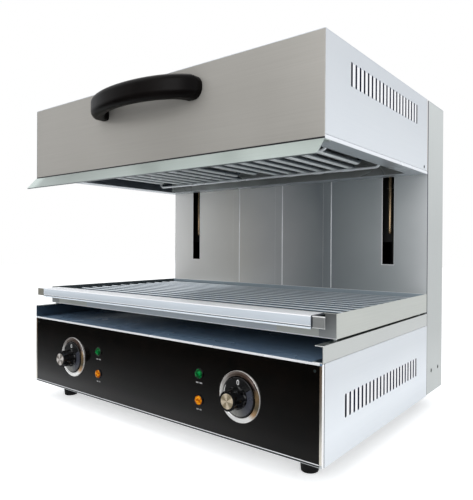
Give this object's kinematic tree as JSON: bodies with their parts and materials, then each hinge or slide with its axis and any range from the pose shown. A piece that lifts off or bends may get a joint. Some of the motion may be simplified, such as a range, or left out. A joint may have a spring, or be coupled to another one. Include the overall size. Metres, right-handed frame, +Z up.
{
  "type": "cheese melter",
  "caption": "Countertop grill whose heated hood slides up and down on a rear column above a wire rack in a pull-out drip tray.",
  "frame": {"origin": "on the table, in the middle of the outline seen from above, handle and cable gland included", "axes": "+Z up, +X to the right of a person facing the front, +Y to the back"},
  "size_m": [0.6, 0.493, 0.519],
  "materials": {
    "stainless_brushed": "brushed stainless sheet",
    "satin_steel": "satin stainless sheet",
    "polished_steel": "polished stainless sheet",
    "black_panel": "gloss black enamel",
    "foot_rubber": "matte black rubber",
    "dark_plastic": "moulded dark plastic",
    "green_lens": "clear green plastic",
    "amber_lens": "clear amber plastic",
    "ceramic": "white heat-proof moulding",
    "bright_chrome": "polished chrome",
    "cast_steel": "plain steel",
    "bronze": "sintered bronze",
    "zinc_steel": "zinc-plated steel",
    "heater_sheath": "matt steel sheath",
    "handle_plastic": "satin black heat-proof plastic",
    "knob_plastic": "gloss black plastic",
    "cap_metal": "spun champagne aluminium",
    "spring_steel": "spring steel",
    "copper_bulb": "copper tube",
    "grip_aluminium": "bright anodised aluminium",
    "rack_chrome": "chromed wire"
  },
  "bodies": {
    "base": {"base_tray": "stainless_brushed", "control_panel": "black_panel", "deck_plate": "polished_steel", "column_front_panel": "satin_steel", "column_rear_cover": "stainless_brushed", "column_top_cap": "stainless_brushed", "tray_glides": "dark_plastic", "feet": "foot_rubber", "green_lamp_lenses": "green_lens", "amber_lamp_lenses": "amber_lens", "lamp_bodies": "dark_plastic", "terminal_block": "ceramic", "cable_gland": "dark_plastic", "bezels": "bright_chrome", "lower_rod_brackets": "cast_steel", "upper_rod_brackets": "cast_steel", "side_cover_left": "stainless_brushed", "tray_rail_left": "stainless_brushed", "thermostat_left": "zinc_steel", "column_side_left": "stainless_brushed", "guide_rod_left": "bright_chrome", "balance_spring_left": "spring_steel", "side_cover_right": "stainless_brushed", "tray_rail_right": "stainless_brushed", "thermostat_right": "zinc_steel", "column_side_right": "stainless_brushed", "guide_rod_right": "bright_chrome", "balance_spring_right": "spring_steel"},
    "hood": {"hood_front_panel": "stainless_brushed", "hood_top_cover": "stainless_brushed", "hood_rear_panel": "stainless_brushed", "hood_lip": "polished_steel", "heater_frame": "polished_steel", "heat_reflector": "polished_steel", "element_hangers": "heater_sheath", "handle": "handle_plastic", "handle_screws": "zinc_steel", "slide_bushes": "bronze", "carriage_bolts": "zinc_steel", "bulb_clips": "zinc_steel", "hood_side_left": "stainless_brushed", "heating_element_left": "heater_sheath", "carriage_left": "cast_steel", "thermostat_bulb_left": "copper_bulb", "hood_side_right": "stainless_brushed", "heating_element_right": "heater_sheath", "carriage_right": "cast_steel", "thermostat_bulb_right": "copper_bulb"},
    "tray": {"drip_tray": "stainless_brushed", "tray_front_strip": "stainless_brushed", "tray_grip": "grip_aluminium", "wire_rack": "rack_chrome"},
    "dial_left": {"knob_left": "knob_plastic", "knob_cap_left": "cap_metal", "spindle_left": "zinc_steel"},
    "dial_right": {"knob_right": "knob_plastic", "knob_cap_right": "cap_metal", "spindle_right": "zinc_steel"}
  },
  "joints": [
    {"name": "hood_lift", "type": "slide", "parent": "base", "child": "hood", "axis": [0, 0, 1], "range_m": [-0.165, 0], "deforming": ["balance_spring_left", "balance_spring_right"]},
    {"name": "tray_slide", "type": "slide", "parent": "base", "child": "tray", "axis": [0, -1, 0], "range_m": [0, 0.3]},
    {"name": "left_dial_turn", "type": "hinge", "parent": "base", "child": "dial_left", "pos_m": [-0.181, -0.1965, 0.087], "axis": [0, 1, 0], "range_deg": [0, 290]},
    {"name": "right_dial_turn", "type": "hinge", "parent": "base", "child": "dial_right", "pos_m": [0.181, -0.1965, 0.087], "axis": [0, 1, 0], "range_deg": [0, 290]}
  ]
}
